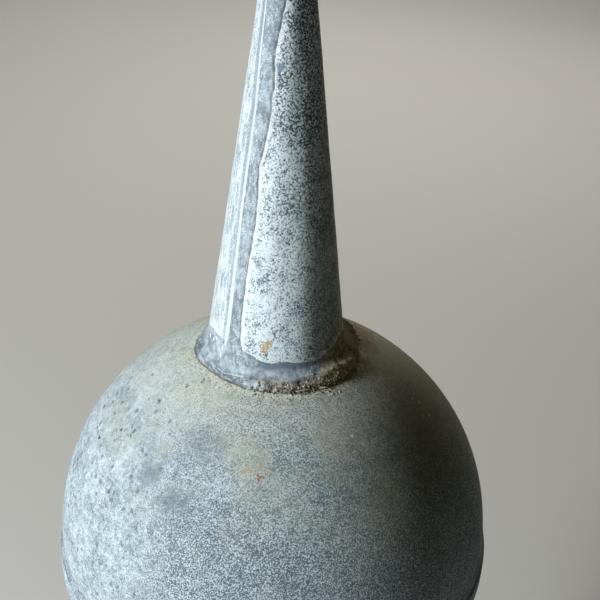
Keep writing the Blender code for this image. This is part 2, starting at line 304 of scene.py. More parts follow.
def make_bowl():
    """The spun lower half: a proud collar, a shoulder and the opening for the neck."""
    shoulder = -asin((BALL_HEIGHT - SHOULDER_HEIGHT) / BALL_RADIUS)
    opening_radius = (NECK_RADIUS + GAP) * BALL_RADIUS / (BALL_RADIUS - SHEET)
    opening = -asin(sqrt(BALL_RADIUS ** 2 - opening_radius ** 2) / BALL_RADIUS)
    bevel = 0.0003
    outline = [(COLLAR_OUTER - bevel, COLLAR_TOP), (COLLAR_OUTER, COLLAR_TOP - bevel)]
    for share in (0.3, 0.6, 1.0):
        outline.append((COLLAR_OUTER + 0.0001 * sin(pi * share),
                        COLLAR_TOP + share * (COLLAR_BOTTOM - COLLAR_TOP)))
    for share in (0.3, 0.6):
        outline.append((COLLAR_OUTER - share * (COLLAR_OUTER - BALL_RADIUS * cos(shoulder)) * share,
                        COLLAR_BOTTOM + share * (SHOULDER_HEIGHT - COLLAR_BOTTOM)))
    outline += ball_points(shoulder, opening, 90, BALL_RADIUS)
    outline += ball_points(opening, shoulder, 14, BALL_RADIUS - SHEET)
    outline += [(COLLAR_INNER, COLLAR_BOTTOM), (COLLAR_INNER, COLLAR_TOP - bevel),
                (COLLAR_INNER + 0.0002, COLLAR_TOP)]
    mesh = lathe("bowl", outline, 400, bowl_relief)
    add_piece(mesh, ball_zinc("bowl_zinc"), "ball_zinc", "ball_lower")


def bowl_relief(points):
    """Dents in the bowl, and a collar that isn't quite round or level."""
    dents = 0.00022 * ripple(points, 0.045, 5.0) + 0.00006 * ripple(points, 0.012, 9.0)
    low = ease(BALL_HEIGHT - points[..., 2], 0.016, 0.03)
    opening = ease(off_axis(points), 0.031, 0.036)
    moved = pushed(points, BALL_CENTRE, dents * low * opening)
    collar = (1.0 - low) * (points[..., 2] > COLLAR_TOP - 0.0005)
    moved[..., 2] += collar * 0.00015 * ripple(points, 0.012, 2.0)
    return moved


def make_equator_solder():
    """The uneven band of solder in the step between the two halves."""
    inner, outer = BALL_RADIUS + 0.0001, COLLAR_INNER + 0.0006
    angles = np.linspace(0.0, FULL_TURN, 720, endpoint=False)
    base = polar(angles, BALL_RADIUS, BALL_HEIGHT)
    wander = 0.00035 * ripple(base, 0.009, 4.0) + 0.0002 * ripple(base, 0.003, 6.0)
    rings = [polar(angles, inner - 0.0004, BALL_HEIGHT - 0.0009 + wander)]
    for share in np.linspace(0.0, 1.0, 8):
        radius = inner + share * (outer - inner) + 0.00012 * np.sin(pi * share)
        height = BALL_HEIGHT - 0.0006 - share * 0.0031 - 0.0009 * np.sin(pi * share)
        lumps = 0.00015 * ripple(base + np.array([0.0, 0.0, 0.01 * share]), 0.0035, 7.0)
        rings.append(polar(angles, radius + lumps, height + wander * (1.0 - share)))
    rings.append(polar(angles, outer, COLLAR_TOP - 0.0008))
    rings.append(polar(angles, inner - 0.0004, COLLAR_TOP - 0.0008))
    mesh = skin("equator_band", rings, wrap=True)
    add_piece(mesh, solder("equator_metal"), "solder", "equator_solder")


# Shapes: the spike

def sheet_radius(height):
    """The cone's radius at a height, away from the lap."""
    return FOOT_RADIUS - SPIKE_TAPER * (height - FOOT_HEIGHT)


def lap_angle(radius):
    """The angle covered by the lap."""
    return np.minimum(LAP_WIDTH / radius, LAP_WIDEST)


def lap_lift(turn, radius):
    """How far the sheet stands out where it lies over itself."""
    lap = lap_angle(radius)
    return LAP_LIFT * (1.0 - ease(turn, lap, lap + LAP_RAMP))


def sheet_surface(turn, height):
    """The sheet's outer radius at an angle past the seam and a height, dents included."""
    radius = sheet_radius(height)
    spot = polar(turn, radius, height)
    relief = 0.0001 * ripple(spot, 0.016, 1.0) + 0.00003 * ripple(spot, 0.005, 2.0)
    slender = np.clip(radius / 0.012, 0.3, 1.0)
    return radius + lap_lift(turn, radius) + relief * slender


def on_spike(points):
    """Points modelled on an upright spike, moved to where it leans."""
    turned = points - np.array([0.0, 0.0, FOOT_HEIGHT])
    lean = np.array([
        [cos(SPIKE_LEAN), 0.0, sin(SPIKE_LEAN)],
        [0.0, 1.0, 0.0],
        [-sin(SPIKE_LEAN), 0.0, cos(SPIKE_LEAN)],
    ])
    return turned @ lean.T + np.array([SPIKE_OFFSET, 0.0, FOOT_HEIGHT])


def band_edge(height):
    """Distance of the solder's wavy edge from the seam line."""
    points = np.stack((np.zeros_like(height), np.zeros_like(height), height), axis=-1)
    waves = 0.00035 * ripple(points, 0.0045, 1.0) + 0.00018 * ripple(points, 0.0016, 5.0)
    return read_table(BAND_EDGE, height) + waves


def foot_line(turn):
    """Height of the foot solder's upper edge at an angle past the seam."""
    points = polar(turn, 0.03, 0.0)
    waves = 0.0003 * ripple(points, 0.005, 2.0) + 0.00015 * ripple(points, 0.0018, 4.0)
    return read_table(FOOT_LINE, np.degrees(turn), 360.0) + waves


def spike_rows(start, end):
    """Heights from end down to start, closer together near the foot."""
    fine = np.arange(start, 0.4125, 0.00045)
    coarse = np.linspace(0.4125, end, 158)
    return np.concatenate((fine, coarse))[::-1]


def make_spike_sheet():
    """One sheet rolled into a cone: its front edge laps over its back edge."""
    outside, inside, solder_edge, seam_side, turned = [], [], [], [], []
    for height in spike_rows(FOOT_HEIGHT, END_HEIGHT):
        radius = sheet_radius(height)
        lap = lap_angle(radius)
        cut = min(read_table(CUT_EDGE, height) / radius, LAP_SHARE * lap)
        bevel = 0.00012 / radius
        near = lap + min(0.012 / radius, radians(60.0))
        back = FULL_TURN - min(0.014 / radius, radians(60.0))
        turns = np.concatenate((
            [cut, cut + bevel],
            np.linspace(cut + 3.0 * bevel, lap, 20),
            np.linspace(lap, near, 25)[1:],
            np.linspace(near, back, 108)[1:],
            np.linspace(back, FULL_TURN, 25)[1:],
            np.linspace(FULL_TURN, FULL_TURN + lap, 7)[1:],
        ))
        level = np.full_like(turns, height)
        surface = sheet_surface(turns, level)
        surface[0] -= 0.00012
        outer = polar(SEAM_ANGLE + turns, surface, level)
        inner_surface = surface - SHEET
        inner_surface[0] = surface[1] - SHEET
        inner = polar(SEAM_ANGLE + turns, inner_surface, level)[::-1]
        outside.append(outer)
        inside.append(inner)
        arc = turns * radius
        past = arc - band_edge(level)
        above = level - foot_line(turns)
        edge = np.where(turns < pi, np.minimum(past, above), above)
        solder_edge.append(np.clip(edge, -0.03, 0.03))
        side = np.where(turns < pi, turns - cut, turns - cut - FULL_TURN) * radius
        seam_side.append(np.clip(side, -0.05, 0.05))
        turned.append(turns / FULL_TURN)
    rings = [on_spike(np.concatenate(pair)) for pair in zip(outside, inside)]
    marks = {}
    for mark, rows in (("past_solder", solder_edge), ("past_seam", seam_side), ("turned", turned)):
        marks[mark] = [np.concatenate((row, row[::-1])) for row in rows]
    mesh = skin("spike_sheet", rings, marks=marks)
    close_ends(mesh, len(rings), len(rings[0]))
    add_piece(mesh, spike_zinc("spike_zinc"), "spire_zinc", "spire")


def close_ends(mesh, rows, columns):
    """Fills the thin rims at both ends of a rolled sheet with quads."""
    shape = bmesh.new()
    shape.from_mesh(mesh)
    shape.verts.ensure_lookup_table()
    half = columns // 2
    for start, flip in ((0, False), ((rows - 1) * columns, True)):
        for column in range(half - 1):
            mirror = columns - 1 - column
            corners = [start + column, start + column + 1, start + mirror - 1, start + mirror]
            if flip:
                corners.reverse()
            face = shape.faces.new([shape.verts[index] for index in corners])
            face.smooth = True
    shape.to_mesh(mesh)
    shape.free()


def make_seam_band():
    """The flat run of solder over the lap, thick in the middle and thin at its wavy edge."""
    shares = np.concatenate((np.linspace(0.0, 0.12, 5), np.linspace(0.12, 0.88, 18)[1:],
                             np.linspace(0.88, 1.0, 6)[1:]))
    heights = spike_rows(0.4, END_HEIGHT)
    rings = []
    for height in heights:
        radius = sheet_radius(height)
        cut = min(read_table(CUT_EDGE, height), LAP_SHARE * lap_angle(radius) * radius)
        cut += float(read_table(RIDGE_WIDTH, height))
        edge = max(min(float(band_edge(np.array([height]))[0]), 0.02), cut + 0.0012)
        arcs = cut + shares * (edge - cut)
        turns = arcs / radius
        level = np.full_like(turns, height)
        surface = sheet_surface(turns, level)
        spot = polar(SEAM_ANGLE + turns, surface, level)
        crown = ease(shares, 0.0, 0.1) * (1.0 - ease(shares, 0.86, 1.0))
        lumps = 1.0 + 0.35 * ripple(spot, 0.004, 3.0)
        top = polar(SEAM_ANGLE + turns, surface + 0.00003 + 0.00022 * crown * lumps, level)
        bottom = polar(SEAM_ANGLE + turns, surface - 0.0002, level)
        rings.append(on_spike(np.concatenate((top, bottom[::-1]))))
    mesh = skin("seam_band", rings)
    close_ends(mesh, len(rings), len(rings[0]))
    add_piece(mesh, solder("seam_metal"), "solder", "spire_seam_solder")


def make_spike_point():
    """The soldered point that closes the end of the rolled sheet."""
    bottom = END_HEIGHT + GAP
    widest = END_RADIUS + LAP_LIFT + GAP
    point = FOOT_HEIGHT + SPIKE_RISE
    tip = 0.0011
    outline = [(0.0, point)]
    for degrees in (70.0, 45.0, 20.0, 0.0):
        angle = radians(degrees)
        outline.append((tip * cos(angle), point - tip * (1.0 - sin(angle))))
    waist = bottom + widest
    shoulder = sheet_radius(waist) + 0.0006
    for share in (0.15, 0.3, 0.45, 0.6, 0.75, 0.9, 1.0):
        outline.append((tip + share * (shoulder - tip), point - tip + share * (waist - point + tip)))
    for share in (0.25, 0.5, 0.75, 1.0):
        outline.append((shoulder + (widest - shoulder) * sin(share * pi / 2),
                        waist - share * 0.75 * widest))
    outline += [(widest, bottom + 0.0004), (widest - 0.0003, bottom), (0.0, bottom)]

    def relief(points):
        lumps = 0.00012 * ripple(points, 0.004, 2.0) * ease(point - points[..., 2], 0.0, 0.004)
        return pushed(points, np.array([0.0, 0.0, bottom + 0.004]), lumps)

    mesh = lathe("spike_point", outline, 96, relief)
    flat = np.array([vertex.co for vertex in mesh.vertices])
    mesh.vertices.foreach_set("co", on_spike(flat).ravel())
    add_piece(mesh, solder("point_metal"), "solder", "spire_tip")


# Shapes: the solder and dirt round the spike's foot

CRUMBS = 700
FIBRES = 11
FIBRE_RADIUS = 0.00012


def seat_height(radius):
    """Height of the ball's upper surface at a distance from its axis."""
    return BALL_HEIGHT + np.sqrt(BALL_RADIUS ** 2 - radius ** 2)


def collar_lines(angles):
    """The foot collar's sharp rim, and the line where it meets the ball, at some angles."""
    degrees = np.degrees(angles) % 360.0
    circle = polar(angles, 0.035, 0.0)
    rim_radius = read_table(RIM_RADIUS, degrees, 360.0)
    rim_radius += 0.0004 * ripple(circle, 0.006, 1.0) + 0.00018 * ripple(circle, 0.0022, 3.0)
    rim_height = read_table(RIM_HEIGHT, degrees, 360.0) + 0.0003 * ripple(circle, 0.006, 6.0)
    reach = read_table(COLLAR_REACH, degrees, 360.0) + 0.0003 * ripple(circle, 0.004, 8.0)
    rim = polar(angles, rim_radius, rim_height)
    foot = polar(angles, reach, seat_height(reach) - 0.0002)
    return rim, foot, reach


def make_foot_collar():
    """The thick collar of solder: a hollow fillet, a sharp rim and a rough outer face."""
    angles = np.linspace(0.0, FULL_TURN, 560, endpoint=False)
    degrees = np.degrees(angles)
    turn = (angles - SEAM_ANGLE + pi) % FULL_TURN - pi
    local_turn = np.where(turn < 0.0, turn + FULL_TURN, turn)
    line = foot_line(turn)
    rim, foot, reach = collar_lines(angles)
    surface = sheet_surface(local_turn, line)

    def on_sheet(lift, drop):
        return on_spike(polar(SEAM_ANGLE + turn, surface + lift, line - drop))

    turned = np.degrees(local_turn)
    over_band = ease(turned, 2.0, 4.5) * (1.0 - ease(turned, 18.0, 24.0))
    thick = 0.00034 - 0.00024 * over_band
    top = on_sheet(thick, 0.0004)
    rings = [on_sheet(-0.0004, 0.0), on_sheet(0.0, 0.0), on_sheet(0.65 * thick, 0.0001), top]
    steepest = radians(76.0)
    down = [np.zeros(len(angles))] * 4
    for share in np.linspace(0.0, 1.0, 20)[1:]:
        across = (1.0 - cos(share * steepest)) / (1.0 - cos(steepest))
        fall = sin(share * steepest) / sin(steepest)
        ring = top + (rim - top) * np.array([1.0, 1.0, 0.0]) * across
        ring[..., 2] = top[..., 2] + (rim[..., 2] - top[..., 2]) * fall
        lumps = 0.00018 * ripple(ring, 0.004, 5.0) + 0.0001 * ripple(ring, 0.0014, 7.0)
        ring = pushed(ring, BALL_CENTRE, lumps * sin(pi * share) ** 0.5)
        rings.append(ring)
        down.append(np.full(len(angles), share))
    front = ease(degrees, 238.0, 255.0) * (1.0 - ease(degrees, 325.0, 345.0))
    for share in np.linspace(0.0, 1.0, 16)[1:]:
        ring = rim + (foot - rim) * share
        lip = 0.00018 * sin(min(1.0, 4.0 * share) * pi)
        belly = 0.0009 * front * sin(pi * share ** 0.7)
        lumps = (0.00012 + 0.00055 * front) * ripple(ring, 0.0026, 9.0)
        lumps += 0.00008 * ripple(ring, 0.0011, 4.0)
        away = lip + belly + lumps * sin(pi * share) ** 0.5
        ring = ring + polar(angles, away, 0.0)
        rings.append(ring)
        down.append(np.full(len(angles), 1.0 + share))
    rings.append(polar(angles, reach - 0.001, seat_height(reach - 0.001) - 0.0006))
    rings.append(polar(angles, 0.0285, seat_height(0.0285) - 0.0006))
    down += [np.full(len(angles), 2.0)] * 2
    mesh = skin("foot_collar", rings, wrap=True, marks={"down": down})
    add_piece(mesh, collar_solder("collar_metal"), "solder", "spire_foot_solder")


def add_crumb(shape, centre, size, dice):
    """Adds one rough crumb of dirt."""
    start = len(shape.verts)
    bmesh.ops.create_icosphere(shape, subdivisions=1, radius=size)
    shape.verts.ensure_lookup_table()
    squash = Vector((dice.uniform(0.7, 1.3), dice.uniform(0.7, 1.3), dice.uniform(0.5, 0.9)))
    for vertex in shape.verts[start:]:
        bent = vertex.co * (1.0 + 0.25 * noise.noise(vertex.co / size * 1.3 + centre * 900.0))
        vertex.co = Vector((bent.x * squash.x, bent.y * squash.y, bent.z * squash.z)) + centre


def add_fibre(shape, points, radius):
    """Adds one thin fibre through points, as a closed five-sided tube."""
    sides = 5
    rings = []
    for index, point in enumerate(points):
        before = points[max(0, index - 1)]
        after = points[min(len(points) - 1, index + 1)]
        along = (after - before).normalized()
        side = along.cross(Vector((0.0, 0.0, 1.0))).normalized()
        up = side.cross(along)
        ring = []
        for step in range(sides):
            angle = FULL_TURN * step / sides
            ring.append(shape.verts.new(point + radius * (cos(angle) * side + sin(angle) * up)))
        rings.append(ring)
    for first, second in zip(rings, rings[1:]):
        for step in range(sides):
            after = (step + 1) % sides
            shape.faces.new((first[step], first[after], second[after], second[step]))
    shape.faces.new(rings[0][::-1])
    shape.faces.new(rings[-1])


def make_grit():
    """Crumbs of dirt caught in the gap in front of the foot collar, and some to its right."""
    dice = random.Random(11)
    shape = bmesh.new()
    for index in range(CRUMBS):
        degrees = dice.triangular(236.0, 350.0, 292.0)
        if index % 7 == 0:
            degrees = dice.uniform(325.0, 405.0)
        rim, foot, _ = collar_lines(np.array([radians(degrees)]))
        share = dice.triangular(-0.1, 1.75, 0.6)
        size = dice.uniform(0.00014, 0.00034) * dice.choice((1.0, 1.0, 1.0, 1.7))
        spot = Vector(rim[0]) + (Vector(foot[0]) - Vector(rim[0])) * share
        away = Vector((spot.x, spot.y, 0.0)).normalized()
        if share > 1.0:
            spot = Vector(foot[0]) + away * (share - 1.0) * 0.006
            spot.z = float(seat_height(spot.xy.length)) + 0.3 * size
        else:
            spot += away * (0.0007 * sin(pi * share) + dice.uniform(0.0, 0.0006))
        add_crumb(shape, spot, size, dice)
    add_loose(shape, "foot_grit", grit("foot_dirt"))


def make_fibres():
    """Thin dry fibres caught in the dirt in front of the foot collar."""
    dice = random.Random(23)
    shape = bmesh.new()
    for _ in range(FIBRES):
        degrees = dice.uniform(274.0, 300.0)
        length = dice.uniform(4.0, 10.0)
        bow = dice.uniform(-0.0012, 0.0018)
        rise = dice.uniform(0.0008, 0.0026)
        start = dice.uniform(0.0338, 0.0358)
        slant = dice.uniform(-0.0012, 0.0024)
        points = []
        for step in range(9):
            share = step / 8.0
            angle = radians(degrees + share * length * dice.uniform(0.97, 1.03))
            radius = start + slant * share + bow * sin(pi * share) + dice.gauss(0.0, 0.00005)
            height = float(seat_height(radius)) + 0.0005 + rise * sin(pi * share)
            points.append(Vector((radius * cos(angle), radius * sin(angle), height)))
        add_fibre(shape, points, FIBRE_RADIUS)
    add_loose(shape, "foot_fibres", straw("dry_fibre"))


# Shapes: neck and base

def make_neck_solder():
    """Solder in the corner between the ball's underside and the neck."""
    inner, outer = NECK_RADIUS - 0.0002, NECK_RADIUS + 0.0063
    high = BALL_HEIGHT - sqrt(BALL_RADIUS ** 2 - outer ** 2)
    low = BALL_HEIGHT - sqrt(BALL_RADIUS ** 2 - NECK_RADIUS ** 2) - 0.0053
    outline = [(outer - 0.0002, high + 0.0003), (outer, high - 0.0001)]
    for index in range(1, 13):
        angle = index / 13.0 * pi / 2
        outline.append((outer - (outer - inner - 0.0004) * sin(angle),
                        low + (high - low) * cos(angle) ** 2))
    outline += [(inner + 0.0003, low), (inner, low + 0.0004), (inner, high + 0.0012)]

    def relief(points):
        lumps = 0.00022 * ripple(points, 0.007, 3.0) + 0.00008 * ripple(points, 0.0022, 5.0)
        return widened(points, lumps * ease(off_axis(points), inner, inner + 0.001))

    mesh = lathe("neck_fillet", outline, 260, relief)
    add_piece(mesh, solder("neck_metal"), "solder", "neck_solder")


def make_neck_bead():
    """The half-round bead round the neck."""
    inner = NECK_RADIUS + 0.0001
    outline = []
    for index in range(25):
        angle = pi / 2 - pi * index / 24
        outline.append((inner + BEAD_RADIUS * cos(angle), BEAD_HEIGHT + BEAD_RADIUS * sin(angle)))

    def relief(points):
        dents = 0.00012 * ripple(points, 0.011, 6.0)
        return widened(points, dents * ease(off_axis(points), inner, inner + 0.002))

    mesh = lathe("neck_moulding", outline, 260, relief)
    add_piece(mesh, base_zinc("bead_zinc"), "base_zinc", "neck_bead")


def make_skirt():
    """The flared base with its neck, flat flange and rolled edge, open underneath."""
    drop = NECK_BOTTOM - SHEET
    flare = FLARE_FOOT - NECK_RADIUS
    outer = [(NECK_RADIUS, NECK_TOP - (NECK_TOP - NECK_BOTTOM) * index / 18) for index in range(18)]
    normals = [(1.0, 0.0)] * 18
    for index in range(73):
        angle = index / 72 * pi / 2
        outer.append((NECK_RADIUS + flare * (1.0 - cos(angle)), NECK_BOTTOM - drop * sin(angle)))
        slope = Vector((drop * cos(angle), flare * sin(angle))).normalized()
        normals.append((slope.x, slope.y))
    roll_radius = BASE_RADIUS - ROLL_RADIUS - SHEET
    for index in range(1, 5):
        outer.append((FLARE_FOOT + (roll_radius - FLARE_FOOT) * index / 5, SHEET))
        normals.append((0.0, 1.0))
    for index in range(17):
        angle = radians(-90.0 + 220.0 * index / 16)
        outer.append((roll_radius + ROLL_RADIUS * cos(angle),
                      SHEET + ROLL_RADIUS + ROLL_RADIUS * sin(angle)))
        normals.append((-cos(angle), -sin(angle)))
    inner = [(point[0] - SHEET * normal[0], point[1] - SHEET * normal[1])
             for point, normal in zip(outer, normals)]
    mesh = lathe("skirt", outer + inner[::-1], 380, skirt_relief)
    add_piece(mesh, base_zinc("skirt_zinc"), "base_zinc", "base_skirt")


def skirt_relief(points):
    """Dents in the flare, none at the neck, the flange or the rolled edge."""
    height = points[..., 2]
    loose = ease(height, 0.004, 0.03) * (1.0 - ease(height, NECK_BOTTOM - 0.02, NECK_BOTTOM))
    spot = polar(bearing(points), 0.06, height)
    dents = 0.00035 * ripple(spot, 0.04, 4.0) + 0.00008 * ripple(spot, 0.012, 8.0)
    return widened(points, dents * loose)


# Materials: a small helper for node trees

class Finish:
    """One procedural material, put together from named steps."""

    def __init__(self, name):
        self.material = bpy.data.materials.new(name)
        self.material.use_nodes = True
        self.nodes = self.material.node_tree.nodes
        self.links = self.material.node_tree.links
        self.shader = self.nodes["Principled BSDF"]
        self.place = self.nodes.new("ShaderNodeTexCoord").outputs["Object"]
        self.colour = None

    def feed(self, socket, value):
        """Links a socket, or sets a number, vector or colour."""
        if isinstance(value, bpy.types.NodeSocket):
            self.links.new(value, socket)
        elif socket.type == "RGBA":
            socket.default_value = (*value, 1.0)
        else:
            socket.default_value = value

    def step(self, kind, inputs, output=0, **settings):
        """Adds a node, sets its properties, feeds its inputs and gives one output."""
        node = self.nodes.new("ShaderNode" + kind)
        for setting, value in settings.items():
            setattr(node, setting, value)
        for socket, value in inputs.items():
            self.feed(node.inputs[socket], value)
        return node.outputs[output]

    def math(self, operation, first, second=0.0):
        """One math step."""
        return self.step("Math", {0: first, 1: second}, operation=operation)

    def times(self, first, second):
        """Product of two values."""
        return self.math("MULTIPLY", first, second)

    def total(self, *terms):
        """Sum of values, plain numbers and (weight, value) pairs."""
        result = 0.0
        for term in terms:
            weight, value = term if isinstance(term, tuple) else (1.0, term)
            result = self.step("Math", {0: value, 1: weight, 2: result}, operation="MULTIPLY_ADD")
        return result

    def fade(self, value, start, end, low=0.0, high=1.0):
        """Goes smoothly from low at start to high at end."""
        if start > end:
            start, end, low, high = end, start, high, low
        inputs = {"Value": value, "From Min": start, "From Max": end, "To Min": low, "To Max": high}
        return self.step("MapRange", inputs, "Result", interpolation_type="SMOOTHSTEP")

    def scaled(self, across, upward):
        """Object coordinates scaled across and upward, for streaks or level lines."""
        return self.step("VectorMath", {0: self.place, 1: (across, across, upward)},
                         operation="MULTIPLY")

    def moved(self, offset):
        """Object coordinates shifted, so that two noises of one size don't agree."""
        return self.step("VectorMath", {0: self.place, 1: offset}, operation="ADD")

    def noise(self, size, detail=3.0, rough=0.55, place=None):
        """Noise from 0 to 1 with lumps about that size in metres."""
        inputs = {"Vector": place or self.place, "Scale": 1.0 / size, "Detail": detail,
                  "Roughness": rough}
        return self.step("TexNoise", inputs, "Fac")

    def cells(self, size, place=None):
        """Distance to the nearest of scattered points, 0 at a point."""
        inputs = {"Vector": place or self.place, "Scale": 1.0 / size}
        return self.step("TexVoronoi", inputs, "Distance")

    def speckle(self, size, cell):
        """Grain with bright and dark specks, from about 0 to 1 and mostly near 0.5."""
        grain = self.noise(size, 3.0, 0.78)
        return self.total(grain, (-0.26, self.cells(cell)), 0.14)

    def mark(self, name):
        """A value stored on the mesh."""
        return self.step("Attribute", {}, "Fac", attribute_name=name)

    def axes(self):
        """The three object coordinates."""
        node = self.nodes.new("ShaderNodeSeparateXYZ")
        self.links.new(self.place, node.inputs[0])
        return node.outputs

    def spots(self, places, ragged, start, end):
        """0 at start metres from the listed spots' outlines, 1 at end; minus is inside."""
        nearest = 1.0
        for *centre, radius in places:
            away = self.step("VectorMath", {0: self.place, 1: tuple(centre)}, "Value",
                             operation="DISTANCE")
            nearest = self.math("MINIMUM", nearest, self.math("SUBTRACT", away, radius))
        return self.fade(self.total(nearest, ragged), start, end)

    def mix(self, share, first, second):
        """Mixes two colours."""
        return self.step("Mix", {0: share, 6: first, 7: second}, 2, data_type="RGBA")

    def coat(self, tone, share, strength=None):
        """Lays a tone over the colour so far: share is its cover, times strength if given."""
        if strength is not None:
            share = self.times(share, strength)
        self.colour = self.mix(share, self.colour, tone)

    def finish(self, rough, metal, height, depth, gloss):
        """Sets the shader's colour, roughness, metallic value, bump and specular level."""
        normal = self.step("Bump", {"Distance": depth, "Height": height}, "Normal")
        looks = {"Normal": normal, "Base Color": self.colour, "Roughness": rough,
                 "Metallic": metal, "Specular IOR Level": gloss}
        for socket, value in looks.items():
            self.feed(self.shader.inputs[socket], value)
        return self.material


# Materials: zinc

SPIKE_OCHRE = (
    (-0.0049, -0.0286, 0.4124, 0.0016), (-0.0033, -0.0284, 0.4142, 0.001),
    (-0.0057, -0.0288, 0.4106, 0.0008),
)
SPIKE_BROWN = ((-0.0007, -0.028, 0.4166, 0.0006), (-0.0048, -0.0291, 0.4085, 0.0004))
SPIKE_BARE = ((-0.0085, -0.0236, 0.4474, 0.0014), (-0.0017, -0.0149, 0.5244, 0.0018))
BALL_RUST = (
    (-0.0066, -0.0646, 0.3763, 0.0003), (-0.0065, -0.0653, 0.3755, 0.0006),
    (-0.0064, -0.066, 0.3748, 0.0007), (-0.0063, -0.0668, 0.374, 0.0003),
    (-0.0046, -0.0655, 0.3755, 0.0003),
)
BALL_OCHRE = (
    (-0.0094, -0.0645, 0.3758, 0.001), (-0.0114, -0.0631, 0.3767, 0.0014),
    (-0.0063, -0.0625, 0.3778, 0.0008), (-0.0039, -0.0635, 0.3772, 0.0006),
    (-0.0317, -0.0807, 0.35, 0.0007),
)
BALL_BROWN = ((-0.0713, -0.0526, 0.3462, 0.001), (-0.0722, -0.052, 0.3455, 0.0006))
BALL_FLECKS = (
    (0.0355, -0.0488, 0.3797, 0.0004), (0.0309, -0.0473, 0.3825, 0.0003),
    (0.0589, -0.0152, 0.3794, 0.0004), (0.0622, -0.0147, 0.377, 0.0004),
    (0.063, -0.0211, 0.3747, 0.0004), (0.0667, -0.0178, 0.3724, 0.0004),
)
BALL_PITS = (
    (-0.0311, -0.0242, 0.3919, 0.0012), (-0.0379, -0.0243, 0.3893, 0.0009),
    (-0.0497, -0.0264, 0.3827, 0.0007), (-0.0771, -0.022, 0.3596, 0.001),
    (-0.0608, -0.0317, 0.3727, 0.0006), (-0.066, -0.0291, 0.3691, 0.0007),
    (-0.0608, -0.0355, 0.3709, 0.0006), (-0.0684, -0.0316, 0.3656, 0.0005),
)
BALL_SMUDGES = (
    (-0.0293, -0.0505, 0.3812, 0.0064), (-0.0262, -0.054, 0.38, 0.0042),
    (-0.0406, -0.0669, 0.3622, 0.005), (-0.0508, -0.0533, 0.3676, 0.0052),
)
# A brown patch right of the collar, in the spike's shade: partly a stain, partly painted warm bounce light.
BALL_STAIN_AND_BOUNCE = (
    (0.0367, -0.0066, 0.3929, 0.0042), (0.0394, 0.0078, 0.3916, 0.007),
    (0.0365, 0.021, 0.3905, 0.008), (0.031, 0.032, 0.3893, 0.006),
)


def spike_zinc(name):
    """Zinc with a coarse crust of white crystals, chalk beside the solder and streaks, and painted shade on
    its right side.
    """
    look = Finish(name)
    grain = look.speckle(0.00076, 0.0008)
    clumps = look.noise(0.0024, 2.0, 0.5)
    patches = look.noise(0.013, 2.0, 0.5)
    edge = look.mark("past_solder")
    seam = look.mark("past_seam")
    turned = look.mark("turned")
    x, _, height = look.axes()
    # Darker patina on the right and back, the side turned from the key light: painted shade.
    shade_side = look.fade(look.total(turned, (0.06, clumps)), 0.18, 0.27)
    high = look.fade(height, 0.44, 0.56)
    level = look.total((1.2, grain), (0.36, clumps), (0.48, patches), -0.368, (-0.14, shade_side),
                       (1.8, look.times(high, grain)), (-1.005, high))
    look.colour = look.mix(look.fade(level, 0.36, 0.56), SPIKE_DARK, SPIKE_MID)
    crystals = look.fade(level, 0.47, 0.72)
    look.coat(SPIKE_PALE, crystals)
    sparks = look.total((-1.0, look.cells(0.0015)), (0.8, grain), (0.19, high))
    look.coat((0.88, 0.93, 0.95), look.fade(sparks, 0.27, 0.39, 0.0, 0.9))
    # Olive brown over the right side, where the spike is in shade: painted shade with a painted warm
    # reflection.
    warm_shade = look.fade(look.total(x, (0.016, patches), -0.008), 0.008, 0.02)
    look.coat((0.225, 0.21, 0.135), warm_shade, 0.45)
    left = look.fade(seam, 0.0002, -0.0002)
    end = look.fade(edge, 0.006, 0.001)
    left_of_seam(look, left, seam, end, grain, high)
    spread = look.total(edge, (-0.011, look.noise(0.0055, 2.0)), 0.0052, (-0.0003, high))
    near = look.fade(spread, 0.0032, 0.0002)
    crust = look.total(near, (2.0, grain), (1.2, clumps), (0.06, high), -1.6)
    crust = look.times(crust, look.fade(x, 0.01, -0.003, 0.74, 1.0))
    start = look.total(edge, (0.001, grain))
    lip = look.total(edge, (-0.0016, clumps), 0.0008)
    lip = look.times(look.fade(lip, 0.0017, 0.0009), look.fade(x, 0.004, -0.006))
    crust = look.math("MAXIMUM", look.fade(crust, 0.42, 0.86), look.times(lip, 0.9))
    crust = look.times(crust, look.fade(start, 0.0003, 0.0007))
    crust = look.times(crust, look.math("SUBTRACT", 1.0, left))
    ridge = look.times(look.fade(seam, -0.0001, 0.0), look.fade(seam, 0.0026, 0.0022))
    white = look.math("MAXIMUM", crust, ridge)
    crust = look.times(crust, look.fade(grain, 0.3, 0.5, 0.6, 0.96))
    look.coat(CHALK, crust)
    worn = look.fade(grain, 0.3, 0.5, 0.6, 1.0)
    look.coat(STREAK, ridge, worn)
    blurred = look.total((0.0022, clumps), (0.001, grain), -0.0016)
    bare = look.spots(SPIKE_BARE, blurred, 0.0008, -0.0008)
    look.coat((0.2, 0.27, 0.34), bare, 0.85)
    ragged = look.total((0.006, grain), (0.003, clumps), -0.0046)
    look.coat(OCHRE, look.spots(SPIKE_OCHRE, ragged, 0.0008, -0.0006), 0.75)
    look.coat((0.12, 0.07, 0.04), look.spots(SPIKE_BROWN, ragged, 0.0006, -0.0004), 0.75)
    rough = look.fade(crystals, 0.0, 1.0, 0.66, 0.92)
    metal = look.fade(look.math("MAXIMUM", crystals, white), 0.0, 1.0, 0.15, 0.0)
    relief = look.total((0.5, crystals), (0.6, grain), (0.9, white), (0.3, clumps))
    return look.finish(rough, metal, relief, 0.00011, 0.2)


